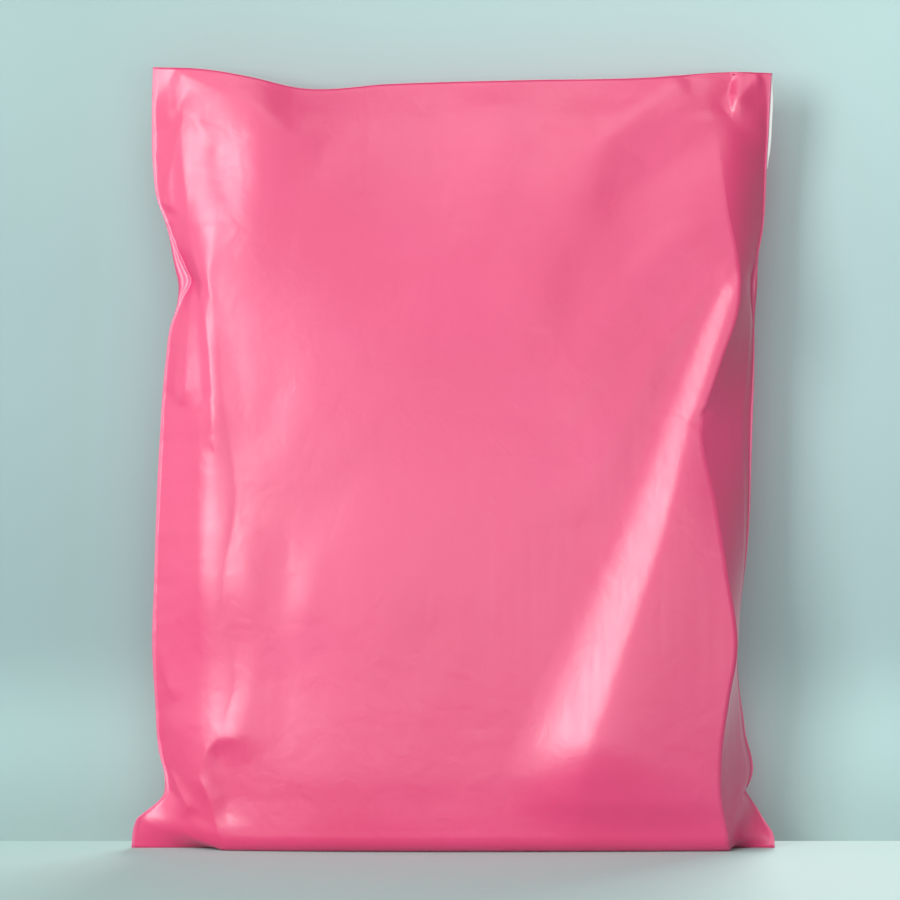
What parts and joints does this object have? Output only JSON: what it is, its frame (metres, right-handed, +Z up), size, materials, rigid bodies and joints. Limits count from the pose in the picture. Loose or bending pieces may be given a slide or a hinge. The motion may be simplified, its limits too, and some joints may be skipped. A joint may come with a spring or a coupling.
{
  "type": "poly mailer bag",
  "caption": "Sealed plastic film mailing bag, filled and standing on its flattened base, with welded sides, corner ears and a flap stuck down on the back.",
  "frame": {"origin": "centre of the bag's bounding box on the floor that it stands on", "axes": "+Z up from the bottom fold to the top fold, +X across the bag to the right as seen from the front, -Y out of the front panel; the flap is on the +Y side"},
  "size_m": [0.2546, 0.0554, 0.3084],
  "materials": {
    "film": "satin to gloss pink polythene film, white on its inner side"
  },
  "bodies": {
    "root": {"mailer_bag": "film"}
  },
  "joints": []
}
